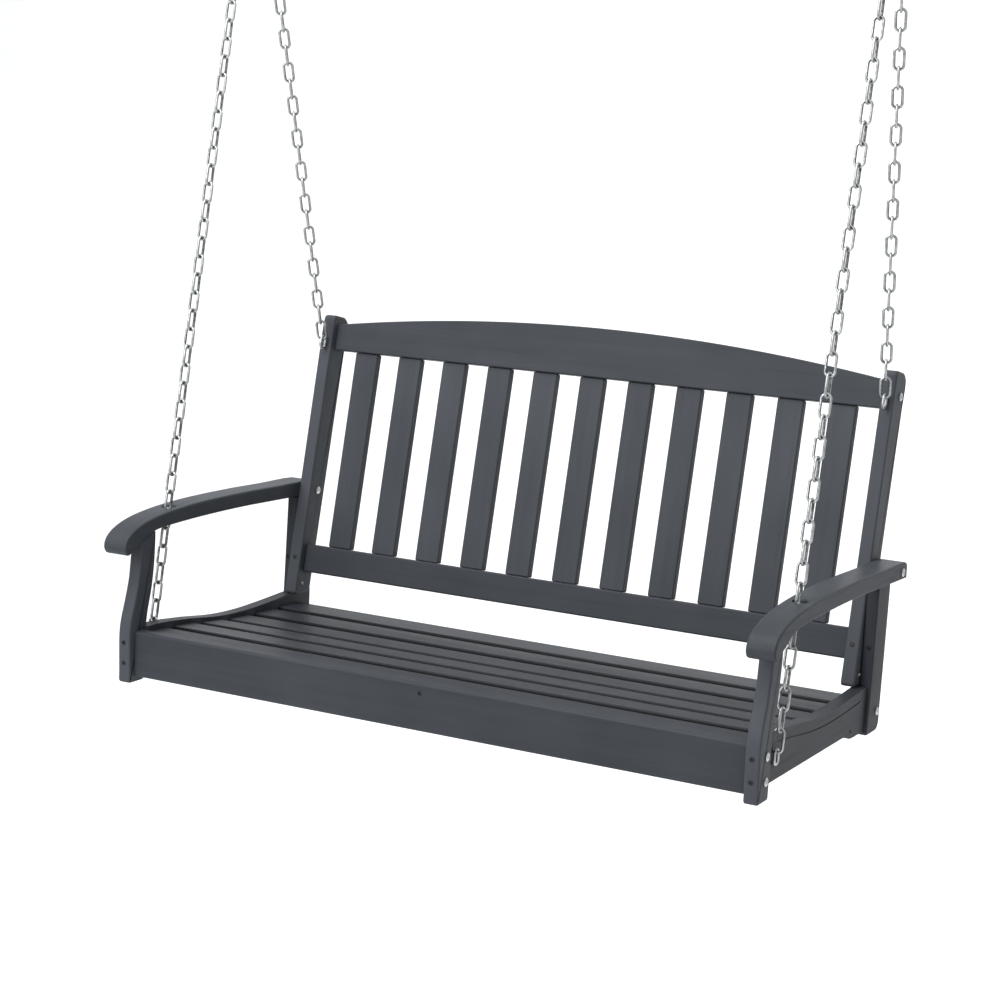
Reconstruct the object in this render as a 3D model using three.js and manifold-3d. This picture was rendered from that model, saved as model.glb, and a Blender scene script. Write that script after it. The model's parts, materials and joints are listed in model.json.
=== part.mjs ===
// A hanging porch swing: a slatted two-seat bench on four chains that meet at
// two ceiling hangers. Millimetres, +X to the sitter's left, +Y to the back, +Z up.
import * as THREE from 'three';
import { mergeVertices } from 'three/addons/utils/BufferGeometryUtils.js';
import Module from 'manifold-3d';

// ---------------------------------------------------------------- driving dimensions
const GAP = 0.3; // clearance between pieces that touch

const LEG_OUTER = 580; // centre line to the outer face of a front leg
const LEG_INNER = 556.5;
const REAR_LEG_OUTER = 574.2;
const REAR_LEG_INNER = 553.5;
const POST_OUTER = 553.2; // back posts
const POST_INNER = 530.2;
const RAIL_OUTER = 567.9; // side rails of the seat
const RAIL_INNER = 545.8;
const REAR_LAP = REAR_LEG_INNER - GAP; // how far out the rear ends of the side rails reach
const ARM_INNER = POST_OUTER + GAP;
const ARM_OUTER = 600.3;

const FRONT_RAIL = { front: 11.4, back: 34.4, bottom: 9, top: 86, edge: 5 };
const REAR_SEAT_RAIL = { front: 485, back: 506.5, bottom: 9.5, top: 54 };
const SEAT_SUPPORT_WIDTH = 23;

const SLAT = { thickness: 20, edge: 4 }; // seat slats
const SEAT_SLATS = [ // middle (y), top (z), width and fall towards the back
  { y: 60.2, z: 82.4, width: 50.5, fall: 1.3 },
  { y: 134, z: 78.6, width: 61, fall: 4.9 },
  { y: 215, z: 70.8, width: 61, fall: 5.2 },
  { y: 297, z: 63.4, width: 61, fall: 2.9 },
  { y: 377, z: 60.6, width: 61, fall: 1.4 },
  { y: 453, z: 59.6, width: 61, fall: 1.2 },
];

const RAKE = THREE.MathUtils.degToRad(11.6); // lean of the back
const BACK_FOOT_Y = 439.8; // where the front of the back posts meets z = 0
const POST = { depth: 48, depthAtTop: 51, foot: 79, top: 601, frontRadius: 9, rearRadius: 18 };
const BACK_RAIL = { front: 13.3, back: 36.8 }; // depths behind the front of the posts
const TOP_RAIL = { bottom: 538.2, crown: 624.6, radius: 3600 };
const BOTTOM_RAIL = { bottom: 125.2, top: 176.7 };
const BACK_SLAT = { count: 11, pitch: 92.4, width: 46.8, front: 18, back: 34 };

const CHAIN = { radius: 4.4, x: 573.4 }; // plain rod with the mass of the chain
const ARM_HOLE = { x: 576.3, y: 123, radius: 12 };
const FRONT_EYE = { y: 80, z: 53.5 }; // middle of the front eye
const REAR_EYE = { along: 548, proud: 10.2 }; // along the post, and in front of it
const EYE = { halfWidth: 7.3, halfHeight: 11, wire: 2.5 };

const HANGER = { x: 582, y: 338, pivotZ: 1466, eyeRadius: 14, wire: 4 };
const HANG_RING = { radius: 18, wire: 3.5 };
const PLATE = { length: 96, width: 45, thickness: 5, bottom: 1512, holeSpan: 66, hole: 3.6 };

const BOLT = { head: 7, headHeight: 3.2, shank: 3 };
const POST_PIN = { y: 477.5, z: 97.5, radius: 3.4, shank: 2 };

// ---------------------------------------------------------------- outlines, [y, z]
// A smooth curve through the given points, with a few straight steps between each two.
function smooth(points, stepsEach = 3) {
  const through = points.map(([a, b]) => new THREE.Vector3(a, b, 0));
  const curve = new THREE.CatmullRomCurve3(through, false, 'centripetal');
  return curve.getPoints(stepsEach * (points.length - 1)).map(({ x, y }) => [x, y]);
}

const ARM_UNDERSIDE = smooth([
  [-9, 217.3], [20, 233.4], [50, 247.5], [72, 252.4], [110, 255], [200, 257.8], [300, 258.6],
  [415, 257], [545, 254.2],
]);
const ARM_TOP = smooth([
  [545, 273.4], [541, 279.4], [533, 281.7], [430, 283.2], [345, 285.2], [245, 285.5], [170, 283.9],
  [98, 279.2], [50, 272.6], [20, 265.2], [-3, 255.4], [-14, 246.7], [-19.6, 237], [-20, 228], [-16, 220.6],
]);
const SIDE_RAIL_TOP = smooth([
  [529, 78.6], [500, 78.4], [464, 77.3], [416, 74.6], [372, 72.6], [330, 71.4], [290, 71.8], [247, 74],
  [213, 77.5], [184, 81.2], [155, 84.8], [124, 87.8], [97, 90.4], [60, 92.5],
]);
const SIDE_RAIL_BOTTOM = [
  [60, 14], [383, 14], [393, 12.3], [404, 8.5], [414, 5.6], [428, 4.5], [522, 4.5], [529, 8],
];
const FRONT_LEG_FRONT = [
  ...smooth([[28, 236], [26, 205], [21.5, 172], [12.5, 138], [4, 112], [-0.5, 92], [-1.5, 70], [0, 20], [0, 3.6]], 2),
  [0.6, 0.4], [2.6, -1.7], [5.5, -2.4],
];
const FRONT_LEG_REAR = [
  [36.5, -2.4], [39.8, -1.6], [42, 0.8], [42.4, 4.6],
  ...smooth([[43.5, 50], [45, 88], [49, 115], [56.5, 143], [62, 172], [65.5, 205], [66.5, 235]], 2),
];
const REAR_LEG_FRONT = [[488, 240], [482.5, 90], [478.5, 20], [477.4, 2], [478.4, -1.2], [481.6, -3]];
const REAR_LEG_REAR = [
  [520, -3], [525.8, -1.7], [530.6, 1.9], [533.7, 7.1], [534.6, 13.5], [535.2, 38], [539, 110],
  [542.4, 190], [544.4, 240],
];

const wood = new THREE.MeshStandardMaterial({ color: 0x4b4e54, roughness: 0.6, metalness: 0 });
const zinc = new THREE.MeshStandardMaterial({ color: 0xb9bcbd, roughness: 0.35, metalness: 1 });
const steel = new THREE.MeshStandardMaterial({ color: 0xc4c6c8, roughness: 0.3, metalness: 1 });

const X = new THREE.Vector3(1, 0, 0);
const Y = new THREE.Vector3(0, 1, 0);
const Z = new THREE.Vector3(0, 0, 1);
const SIDES = { left: -1, right: 1 };

// ---------------------------------------------------------------- solids
const wasm = await Module();
wasm.setup();

function toSolid(geometry) {
  const bare = geometry.index ? geometry.toNonIndexed() : geometry.clone();
  bare.deleteAttribute('normal');
  bare.deleteAttribute('uv');
  const merged = mergeVertices(bare, 1e-3);
  return new wasm.Manifold(new wasm.Mesh({
    numProp: 3,
    vertProperties: new Float32Array(merged.attributes.position.array),
    triVerts: new Uint32Array(merged.index.array),
  }));
}

function toGeometry(solid) {
  const mesh = solid.getMesh();
  const geometry = new THREE.BufferGeometry();
  geometry.setAttribute('position', new THREE.BufferAttribute(mesh.vertProperties, 3));
  geometry.setIndex(new THREE.BufferAttribute(mesh.triVerts, 1));
  return geometry;
}

function subtract(geometry, ...cutters) {
  return toGeometry(cutters.reduce((rest, cutter) => rest.subtract(toSolid(cutter)), toSolid(geometry)));
}

function union(geometry, ...others) {
  return toGeometry(others.reduce((sum, other) => sum.add(toSolid(other)), toSolid(geometry)));
}

function outline(points) {
  return new THREE.Shape(points.map(([a, b]) => new THREE.Vector2(a, b)));
}

// A board whose side outline in [y, z] runs from one x to another.
function boardAlongX(shape, fromX, toX, curveSegments = 6) {
  const low = Math.min(fromX, toX);
  const depth = Math.abs(toX - fromX);
  const geometry = new THREE.ExtrudeGeometry(shape, { depth, bevelEnabled: false, curveSegments });
  geometry.applyMatrix4(new THREE.Matrix4().makeBasis(Y, Z, X));
  return geometry.translate(low, 0, 0);
}

// A board whose front outline in [x, z] runs from one y to another.
function boardAlongY(shape, fromY, toY, curveSegments = 12) {
  const depth = toY - fromY;
  const geometry = new THREE.ExtrudeGeometry(shape, { depth, bevelEnabled: false, curveSegments });
  geometry.applyMatrix4(new THREE.Matrix4().makeBasis(X, Z, Y.clone().negate()));
  return geometry.translate(0, toY, 0);
}

function block(fromX, toX, fromY, toY, fromZ, toZ) {
  const geometry = new THREE.BoxGeometry(Math.abs(toX - fromX), toY - fromY, toZ - fromZ);
  return geometry.translate((fromX + toX) / 2, (fromY + toY) / 2, (fromZ + toZ) / 2);
}

// A round bar from one point to another.
function bar(from, to, radius, sides = 8) {
  const span = new THREE.Vector3().subVectors(to, from);
  const geometry = new THREE.CylinderGeometry(radius, radius, span.length(), sides);
  geometry.applyQuaternion(new THREE.Quaternion().setFromUnitVectors(Y, span.clone().normalize()));
  const middle = new THREE.Vector3().addVectors(from, to).multiplyScalar(0.5);
  return geometry.translate(middle.x, middle.y, middle.z);
}

// A closed ring of round wire: the centre line is an ellipse in the plane of two directions.
function wireRing(centre, across, up, halfWidth, halfHeight, wire, steps = 20, sides = 8) {
  const normal = across.clone().cross(up);
  const points = [];
  const faces = [];
  for (let i = 0; i < steps; i += 1) {
    const turn = (2 * Math.PI * i) / steps;
    const outward = across.clone().multiplyScalar(Math.cos(turn) / halfWidth)
      .addScaledVector(up, Math.sin(turn) / halfHeight)
      .normalize();
    const middle = centre.clone()
      .addScaledVector(across, halfWidth * Math.cos(turn))
      .addScaledVector(up, halfHeight * Math.sin(turn));
    const next = ((i + 1) % steps) * sides;
    for (let j = 0; j < sides; j += 1) {
      const around = (2 * Math.PI * j) / sides;
      points.push(middle.clone()
        .addScaledVector(outward, wire * Math.cos(around))
        .addScaledVector(normal, wire * Math.sin(around)));
      const k = (j + 1) % sides;
      faces.push(i * sides + j, next + j, next + k);
      faces.push(i * sides + j, next + k, i * sides + k);
    }
  }
  const geometry = new THREE.BufferGeometry().setFromPoints(points);
  geometry.setIndex(faces);
  return geometry;
}

function heightOf(line, y) {
  const next = line.findIndex(([end]) => end >= y);
  const [y0, z0] = line[next - 1];
  const [y1, z1] = line[next];
  return z0 + ((z1 - z0) * (y - y0)) / (y1 - y0);
}

// ---------------------------------------------------------------- assembly helpers
const swing = new THREE.Group();

function add(parent, name, geometry, material) {
  const mesh = new THREE.Mesh(geometry, material);
  mesh.name = name;
  parent.add(mesh);
  return mesh;
}

// A dome-headed bolt: the head sits on a face, the shank runs along the inward direction. One
// that goes right through has a domed nut like its head on the far side.
function bolt(parent, name, head, inward, length, { through = false, radius = BOLT.head, shank = BOLT.shank } = {}) {
  const dome = [[radius, GAP], [radius, GAP + 1], [radius * 0.7, BOLT.headHeight - 0.6], [0, BOLT.headHeight]];
  const nut = dome.map(([r, h]) => [r, -length - h]).reverse();
  const end = through ? [...nut, [shank, -length - GAP]] : [[0, -length], [shank, -length]];
  const profile = [...end, [shank, GAP], ...dome];
  const geometry = new THREE.LatheGeometry(profile.map(([r, h]) => new THREE.Vector2(r, h)), 8);
  const outward = inward.clone().negate();
  const mesh = add(parent, name, geometry, steel);
  mesh.quaternion.setFromUnitVectors(Y, outward);
  mesh.position.copy(head);
  return mesh;
}

// The hole a bolt needs in the boards that it passes through.
function boltHole(head, inward, length) {
  const start = head.clone().addScaledVector(inward, -1);
  const end = head.clone().addScaledVector(inward, length + 1);
  return bar(start, end, BOLT.shank + 0.5);
}

// ---------------------------------------------------------------- the seat
const BOLTS = { // head position [x, y, z] on the right side, length of the shank
  frontLegUpper: { at: [LEG_OUTER, 26, 67], length: 62 },
  frontLegLower: { at: [LEG_OUTER, 26, 29], length: 62 },
  rearLeg: { at: [REAR_LEG_OUTER, 518.4, 31], length: 27 },
  arm: { at: [ARM_OUTER, 520.5, 266.5], length: ARM_OUTER - POST_INNER },
};

function headOf({ at: [x, y, z] }, side) {
  return new THREE.Vector3(side * x, y, z);
}

function addFrontRail() {
  const { front, back, bottom, top, edge } = FRONT_RAIL;
  const shape = new THREE.Shape();
  shape.moveTo(front, bottom);
  shape.lineTo(back, bottom);
  shape.lineTo(back, top);
  shape.lineTo(front + edge, top);
  shape.absarc(front + edge, top - edge, edge, Math.PI / 2, Math.PI, false);
  const end = LEG_INNER - GAP;
  const holes = Object.values(SIDES).flatMap((side) => [BOLTS.frontLegUpper, BOLTS.frontLegLower]
    .map((place) => boltHole(headOf(place, side), X.clone().multiplyScalar(-side), place.length)));
  add(swing, 'front_rail', subtract(boardAlongX(shape, -end, end, 3), ...holes), wood);
}

function addLegs(name, side) {
  const inward = X.clone().multiplyScalar(-side);
  const underArm = (y) => [y, heightOf(ARM_UNDERSIDE, y) - GAP];
  const frontShape = outline([
    ...FRONT_LEG_FRONT, ...FRONT_LEG_REAR, underArm(66.5), underArm(64), underArm(50), underArm(28),
  ]);
  const rearShape = outline([...REAR_LEG_FRONT, ...REAR_LEG_REAR, underArm(544.5), underArm(488.5)]);
  const front = boardAlongX(frontShape, side * LEG_INNER, side * LEG_OUTER);
  const rear = boardAlongX(rearShape, side * REAR_LEG_INNER, side * REAR_LEG_OUTER);
  const holesIn = (...places) => places.map((place) => boltHole(headOf(place, side), inward, place.length));
  add(swing, `front_leg_${name}`, subtract(front, ...holesIn(BOLTS.frontLegUpper, BOLTS.frontLegLower)), wood);
  add(swing, `rear_leg_${name}`, subtract(rear, ...holesIn(BOLTS.rearLeg)), wood);
  bolt(swing, `bolt_front_leg_upper_${name}`, headOf(BOLTS.frontLegUpper, side), inward, 61);
  bolt(swing, `bolt_front_leg_lower_${name}`, headOf(BOLTS.frontLegLower, side), inward, 61);
  bolt(swing, `bolt_rear_leg_${name}`, headOf(BOLTS.rearLeg, side), inward, 26);
}

// The outer half of a side rail is cut away at its ends, where it laps behind the legs.
function addSideRail(name, side) {
  const lap = LEG_INNER - GAP;
  const shape = outline([
    [FRONT_RAIL.back + GAP, 92.5], [FRONT_RAIL.back + GAP, 14], ...SIDE_RAIL_BOTTOM, ...SIDE_RAIL_TOP,
  ]);
  const behindLeg = outline([
    ...REAR_LEG_FRONT.map(([y, z]) => [y - GAP, z]), [475, -10], [560, -10], [560, 240],
  ]);
  const eyeHole = bar(new THREE.Vector3(side * (RAIL_INNER - 1), FRONT_EYE.y, FRONT_EYE.z - EYE.halfHeight),
    new THREE.Vector3(side * (RAIL_OUTER + 1), FRONT_EYE.y, FRONT_EYE.z - EYE.halfHeight), EYE.wire + 0.6);
  const inward = X.clone().multiplyScalar(-side);
  const geometry = subtract(
    boardAlongX(shape, side * RAIL_INNER, side * RAIL_OUTER),
    block(side * lap, side * (RAIL_OUTER + 5), 30, 46.5, 0, 120),
    boardAlongX(behindLeg, side * REAR_LAP, side * (RAIL_OUTER + 5)),
    boltHole(headOf(BOLTS.rearLeg, side), inward, BOLTS.rearLeg.length + 5),
    eyeHole,
  );
  add(swing, `side_rail_${name}`, geometry, wood);
}

function addSeatSlats() {
  const end = RAIL_INNER - GAP;
  SEAT_SLATS.forEach(({ y, z, width, fall }, i) => {
    const half = width / 2;
    const { thickness, edge } = SLAT;
    const shape = new THREE.Shape();
    shape.moveTo(-half, -thickness);
    shape.lineTo(half, -thickness);
    shape.lineTo(half, -edge);
    shape.absarc(half - edge, -edge, edge, 0, Math.PI / 2, false);
    shape.lineTo(edge - half, 0);
    shape.absarc(edge - half, -edge, edge, Math.PI / 2, Math.PI, false);
    const slat = add(swing, `seat_slat_${i + 1}`, boardAlongX(shape, -end, end, 2), wood);
    slat.position.set(0, y, z);
    slat.rotation.x = -THREE.MathUtils.degToRad(fall);
  });
}

// The hidden bearer under the middle of the slats and the rail behind the last slat.
function addSeatBearers() {
  const under = SEAT_SLATS.flatMap(({ y, z, width, fall }) => {
    const slope = Math.tan(THREE.MathUtils.degToRad(fall));
    const level = z - SLAT.thickness - 1;
    return [[y - width / 2 - 1, level + (slope * width) / 2], [y + width / 2 + 1, level - (slope * width) / 2]];
  });
  const front = FRONT_RAIL.back + GAP;
  const back = REAR_SEAT_RAIL.front - GAP;
  const top = under.map(([y, z]) => [Math.min(Math.max(y, front), back), z]).reverse();
  const shape = outline([[front, 16], [back, 16], ...top]);
  const half = SEAT_SUPPORT_WIDTH / 2;
  add(swing, 'centre_seat_support', boardAlongX(shape, -half, half), wood);
  const end = RAIL_INNER - GAP;
  const rail = REAR_SEAT_RAIL;
  add(swing, 'rear_seat_rail', block(-end, end, rail.front, rail.back, rail.bottom, rail.top), wood);
}

function addArm(name, side) {
  const hole = bar(new THREE.Vector3(side * ARM_HOLE.x, ARM_HOLE.y - 10, 235),
    new THREE.Vector3(side * ARM_HOLE.x, ARM_HOLE.y + 10, 305), ARM_HOLE.radius, 16);
  const inward = X.clone().multiplyScalar(-side);
  const geometry = subtract(
    boardAlongX(outline([...ARM_UNDERSIDE, ...ARM_TOP]), side * ARM_INNER, side * ARM_OUTER),
    hole,
    boltHole(headOf(BOLTS.arm, side), inward, BOLTS.arm.length),
  );
  add(swing, `arm_${name}`, geometry, wood);
  bolt(swing, `bolt_arm_${name}`, headOf(BOLTS.arm, side), inward, BOLTS.arm.length, { through: true });
}

// ---------------------------------------------------------------- the back
// In this group z runs up the rake of the posts and y is the depth behind their front.
const back = new THREE.Group();
back.position.set(0, BACK_FOOT_Y, 0);
back.rotation.x = -RAKE;
swing.add(back);
back.updateMatrixWorld(true);

function intoBack(point) {
  return back.worldToLocal(point.clone());
}

function addPost(name, side) {
  const { depth, depthAtTop, foot, top, frontRadius, rearRadius } = POST;
  const cutHeight = (y) => (foot + y * Math.sin(RAKE)) / Math.cos(RAKE);
  const shape = new THREE.Shape();
  shape.moveTo(0, cutHeight(0) + 4);
  shape.lineTo(4, cutHeight(4));
  shape.lineTo(depth, cutHeight(depth));
  shape.lineTo(depthAtTop, top - rearRadius);
  shape.absarc(depthAtTop - rearRadius, top - rearRadius, rearRadius, 0, Math.PI / 2, false);
  shape.lineTo(frontRadius, top);
  shape.absarc(frontRadius, top - frontRadius, frontRadius, Math.PI / 2, Math.PI, false);
  const inward = X.clone().multiplyScalar(-side);
  const eyeEnd = new THREE.Vector3(side * POST_MIDDLE, 32, REAR_EYE.along);
  const eyeHole = bar(new THREE.Vector3(side * POST_MIDDLE, -2, REAR_EYE.along), eyeEnd, EYE.wire + 0.6);
  const pin = intoBack(new THREE.Vector3(0, POST_PIN.y, POST_PIN.z));
  const pinHole = bar(new THREE.Vector3(side * (POST_INNER - 1), pin.y, pin.z),
    new THREE.Vector3(side * (POST_OUTER + 1), pin.y, pin.z), POST_PIN.shank + 0.5);
  const armBolt = intoBack(headOf(BOLTS.arm, 1));
  const armHole = bar(new THREE.Vector3(side * (POST_INNER - 1), armBolt.y, armBolt.z),
    new THREE.Vector3(side * (POST_OUTER + 1), armBolt.y, armBolt.z), BOLT.shank + 0.5);
  const railHead = new THREE.Vector3(side * POST_OUTER, TOP_RAIL_BOLT.depth, TOP_RAIL_BOLT.along);
  const geometry = subtract(
    boardAlongX(shape, side * POST_INNER, side * POST_OUTER, 4),
    eyeHole, pinHole, armHole, boltHole(railHead, inward, 60),
  );
  add(back, `back_post_${name}`, geometry, wood);
  bolt(back, `bolt_top_rail_${name}`, railHead, inward, 61);
  const pinHead = new THREE.Vector3(side * POST_OUTER, POST_PIN.y, POST_PIN.z);
  bolt(swing, `pin_post_foot_${name}`, pinHead, inward, POST_OUTER - POST_INNER, {
    through: true, radius: POST_PIN.radius, shank: POST_PIN.shank,
  });
}

function addBackRails() {
  const end = POST_INNER - GAP;
  const arc = TOP_RAIL.radius;
  const sweep = Math.asin(end / arc);
  const shape = new THREE.Shape();
  shape.moveTo(-end, TOP_RAIL.bottom);
  shape.lineTo(end, TOP_RAIL.bottom);
  shape.absarc(0, TOP_RAIL.crown - arc, arc, Math.PI / 2 - sweep, Math.PI / 2 + sweep, false);
  const holes = Object.values(SIDES).map((side) => boltHole(
    new THREE.Vector3(side * POST_OUTER, TOP_RAIL_BOLT.depth, TOP_RAIL_BOLT.along),
    X.clone().multiplyScalar(-side), 62,
  ));
  const top = subtract(boardAlongY(shape, BACK_RAIL.front, BACK_RAIL.back, 16), ...holes);
  add(back, 'top_rail', top, wood);
  const { bottom, top: bottomTop } = BOTTOM_RAIL;
  add(back, 'bottom_rail', block(-end, end, BACK_RAIL.front, BACK_RAIL.back, bottom, bottomTop), wood);
}

function addBackSlats() {
  const { count, pitch, width, front, back: rear } = BACK_SLAT;
  for (let i = 0; i < count; i += 1) {
    const x = (i - (count - 1) / 2) * pitch;
    const geometry = block(x - width / 2, x + width / 2, front, rear,
      BOTTOM_RAIL.top + GAP, TOP_RAIL.bottom - GAP);
    add(back, `back_slat_${String(i + 1).padStart(2, '0')}`, geometry, wood);
  }
}

// ---------------------------------------------------------------- eyes, chains and hangers
const TOP_RAIL_BOLT = { depth: 31, along: 561 };
const POST_MIDDLE = (POST_OUTER + POST_INNER) / 2;

function frontEyeCentre(side) {
  return new THREE.Vector3(side * CHAIN.x, FRONT_EYE.y, FRONT_EYE.z);
}

function rearEyeCentre(side) {
  const centre = new THREE.Vector3(side * POST_MIDDLE, -REAR_EYE.proud, REAR_EYE.along);
  return back.localToWorld(centre);
}

function hangPoint(side) {
  return new THREE.Vector3(side * HANGER.x, HANGER.y, ringCentreZ);
}

const ringCentreZ = HANGER.pivotZ + HANGER.wire + GAP - (HANG_RING.radius - HANG_RING.wire);

// The front eye lies flat along the side rail; its shank turns inward through the rail.
function addFrontEye(name, side) {
  const centre = frontEyeCentre(side);
  const ring = wireRing(centre, Y, Z, EYE.halfWidth, EYE.halfHeight, EYE.wire);
  const foot = centre.clone().setZ(FRONT_EYE.z - EYE.halfHeight);
  const shank = bar(foot, foot.clone().setX(side * (RAIL_INNER - 8)), EYE.wire);
  add(swing, `front_eye_${name}`, union(ring, shank), zinc);
}

function addRearEye(name, side) {
  const centre = new THREE.Vector3(side * POST_MIDDLE, -REAR_EYE.proud, REAR_EYE.along);
  const ring = wireRing(centre, Y, Z, EYE.halfWidth, EYE.halfHeight, EYE.wire);
  const shank = bar(centre.clone().setY(EYE.halfWidth - REAR_EYE.proud), centre.clone().setY(30), EYE.wire);
  add(back, `rear_eye_${name}`, union(ring, shank), zinc);
}

function addChains(name, side) {
  const top = hangPoint(side);
  const lowerEnds = { front: frontEyeCentre(side), rear: rearEyeCentre(side) };
  Object.entries(lowerEnds).forEach(([which, centre]) => {
    const along = new THREE.Vector3().subVectors(top, centre).normalize();
    const start = centre.clone().addScaledVector(along, EYE.halfHeight + EYE.wire + 2);
    const end = top.clone().addScaledVector(along, -28);
    add(swing, `${which}_chain_${name}`, bar(start, end, CHAIN.radius), zinc);
  });
  const ring = wireRing(top, Y, Z, HANG_RING.radius, HANG_RING.radius, HANG_RING.wire);
  add(swing, `hang_ring_${name}`, ring, zinc);
}

function addHanger(name, side) {
  const { eyeRadius, wire } = HANGER;
  const centre = new THREE.Vector3(side * HANGER.x, HANGER.y, HANGER.pivotZ + eyeRadius);
  const eye = wireRing(centre, X, Z, eyeRadius, eyeRadius, wire);
  const neck = bar(centre.clone().setZ(centre.z + eyeRadius), centre.clone().setZ(PLATE.bottom - GAP), wire + 1);
  add(swing, `hanger_eye_${name}`, union(eye, neck), steel);
  const middle = new THREE.Vector3(side * HANGER.x, HANGER.y, PLATE.bottom);
  const plate = block(middle.x - PLATE.length / 2, middle.x + PLATE.length / 2,
    middle.y - PLATE.width / 2, middle.y + PLATE.width / 2, PLATE.bottom, PLATE.bottom + PLATE.thickness);
  const holes = [-1, 1].map((end) => {
    const start = middle.clone().setX(middle.x + (end * PLATE.holeSpan) / 2).setZ(PLATE.bottom - 1);
    return bar(start, start.clone().setZ(PLATE.bottom + PLATE.thickness + 1), PLATE.hole);
  });
  add(swing, `ceiling_plate_${name}`, subtract(plate, ...holes), steel);
}

// ---------------------------------------------------------------- build
addFrontRail();
addSeatSlats();
addSeatBearers();
addBackRails();
addBackSlats();
Object.entries(SIDES).forEach(([name, side]) => {
  addLegs(name, side);
  addSideRail(name, side);
  addArm(name, side);
  addPost(name, side);
  addFrontEye(name, side);
  addRearEye(name, side);
  addChains(name, side);
  addHanger(name, side);
});

// The origin is below the middle of the swing, level with the bottoms of the legs.
const extent = new THREE.Box3().setFromObject(swing, true);
swing.position.y = -(extent.min.y + extent.max.y) / 2;
swing.position.z = -extent.min.z;

export default swing;
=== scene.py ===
# %% [markdown]
# A hanging porch swing: a slatted bench of painted boards on four chains. The boards, bolts and
# chains already have their sizes and places in a fixed frame of solids. Here each of them gets
# the shape that a hand and an eye expect: edges eased with a router, real chain links,
# domed bolt heads, sunk screws, and paint that lets a little of the grain through.
# The frame is loaded first. Everything after it is in metres, +Z up, +Y to the back of the seat.

# %% Load the frame
import json
import math
import random

import bpy
from mathutils import Matrix, Vector


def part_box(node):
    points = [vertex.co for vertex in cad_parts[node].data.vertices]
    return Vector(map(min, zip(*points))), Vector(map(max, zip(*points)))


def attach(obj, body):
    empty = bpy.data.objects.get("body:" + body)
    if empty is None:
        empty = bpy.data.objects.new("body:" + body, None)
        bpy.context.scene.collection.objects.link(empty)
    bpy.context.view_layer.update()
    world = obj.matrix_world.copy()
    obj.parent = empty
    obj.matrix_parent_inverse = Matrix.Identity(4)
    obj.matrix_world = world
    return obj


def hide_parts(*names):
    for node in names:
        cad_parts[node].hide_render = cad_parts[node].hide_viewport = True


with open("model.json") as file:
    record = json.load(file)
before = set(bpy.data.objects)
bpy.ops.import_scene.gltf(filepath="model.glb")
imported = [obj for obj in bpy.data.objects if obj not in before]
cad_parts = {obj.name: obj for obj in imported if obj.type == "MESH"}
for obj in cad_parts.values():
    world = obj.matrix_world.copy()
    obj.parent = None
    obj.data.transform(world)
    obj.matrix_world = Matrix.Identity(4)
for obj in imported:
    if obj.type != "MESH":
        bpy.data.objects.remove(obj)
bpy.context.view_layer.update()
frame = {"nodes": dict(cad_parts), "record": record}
SIDES = {"left": -1, "right": 1}
X, Y, Z = Vector((1, 0, 0)), Vector((0, 1, 0)), Vector((0, 0, 1))

# %% [markdown]
# The camera stands in front of the bench and to its right, a little above the arms, on a
# long lens, so the boards hardly converge. A camera looks along its own -Z with +Y up, so its
# three axes are the columns of its matrix.

# %% Camera
CAMERA_AT = (1.7713, -3.3353, 0.9870)
LOOKING = Vector((-0.46731, 0.86800, -0.16794)).normalized()
TO_THE_RIGHT = Vector((0.87587, 0.48038, 0.04563)).normalized()
LENS, SENSOR = 83.476, 36
camera_data = bpy.data.cameras.new("camera")
camera_data.lens = LENS
camera_data.sensor_width = SENSOR
camera = bpy.data.objects.new("camera", camera_data)
bpy.context.scene.collection.objects.link(camera)
upward = TO_THE_RIGHT.cross(LOOKING).normalized()
camera.matrix_world = Matrix.Translation(CAMERA_AT) @ Matrix(
    (TO_THE_RIGHT, upward, -LOOKING)).transposed().to_4x4()
bpy.context.scene.camera = camera
print("camera", camera_data.lens, "mm")

# %% [markdown]
# The modelling goes as it would by hand: deselect everything, pick some vertices, edges or
# faces by their place, and run one operator on them. These helpers hold the steps that every
# piece needs. The kind of selection is set before edit mode starts, because edit mode would
# otherwise read picked edges as picked vertices and take their neighbours too.

# %% Selecting and finishing helpers
def deselect():
    if bpy.context.mode != "OBJECT":
        bpy.ops.object.mode_set(mode="OBJECT")
    bpy.ops.object.select_all(action="DESELECT")


def activate(piece):
    deselect()
    piece.select_set(True)
    bpy.context.view_layer.objects.active = piece


def pick(piece, mode, test):
    """Selects the vertices, edges or faces that pass a test, then goes to edit mode."""
    activate(piece)
    mesh = piece.data
    for group in (mesh.vertices, mesh.edges, mesh.polygons):
        for item in group:
            item.select = False
    chosen = {"VERT": mesh.vertices, "EDGE": mesh.edges, "FACE": mesh.polygons}[mode]
    for item in chosen:
        item.select = bool(test(item))
    bpy.context.tool_settings.mesh_select_mode = [mode == kind for kind in ("VERT", "EDGE", "FACE")]
    bpy.ops.object.mode_set(mode="EDIT")


def apply_modifier(piece, kind, **settings):
    activate(piece)
    modifier = piece.modifiers.new(kind.lower(), kind)
    for key, value in settings.items():
        setattr(modifier, key, value)
    bpy.ops.object.modifier_apply(modifier=modifier.name)


def settle(piece, name, smooth_angle=35):
    """Puts the piece's place into its mesh and shades its rounded parts smooth."""
    activate(piece)
    bpy.ops.object.transform_apply(location=True, rotation=True, scale=True)
    bpy.ops.object.shade_smooth_by_angle(angle=math.radians(smooth_angle))
    piece.name = name
    piece.data.name = name
    return piece


def join(parts, name):
    deselect()
    for part in parts:
        part.select_set(True)
    bpy.context.view_layer.objects.active = parts[0]
    if len(parts) > 1:
        bpy.ops.object.join()
    parts[0].name = name
    parts[0].data.name = name
    return parts[0]


def ends_of(piece, edge):
    """The places of an edge's two ends."""
    return [piece.data.vertices[v].co for v in edge.vertices]


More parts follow.
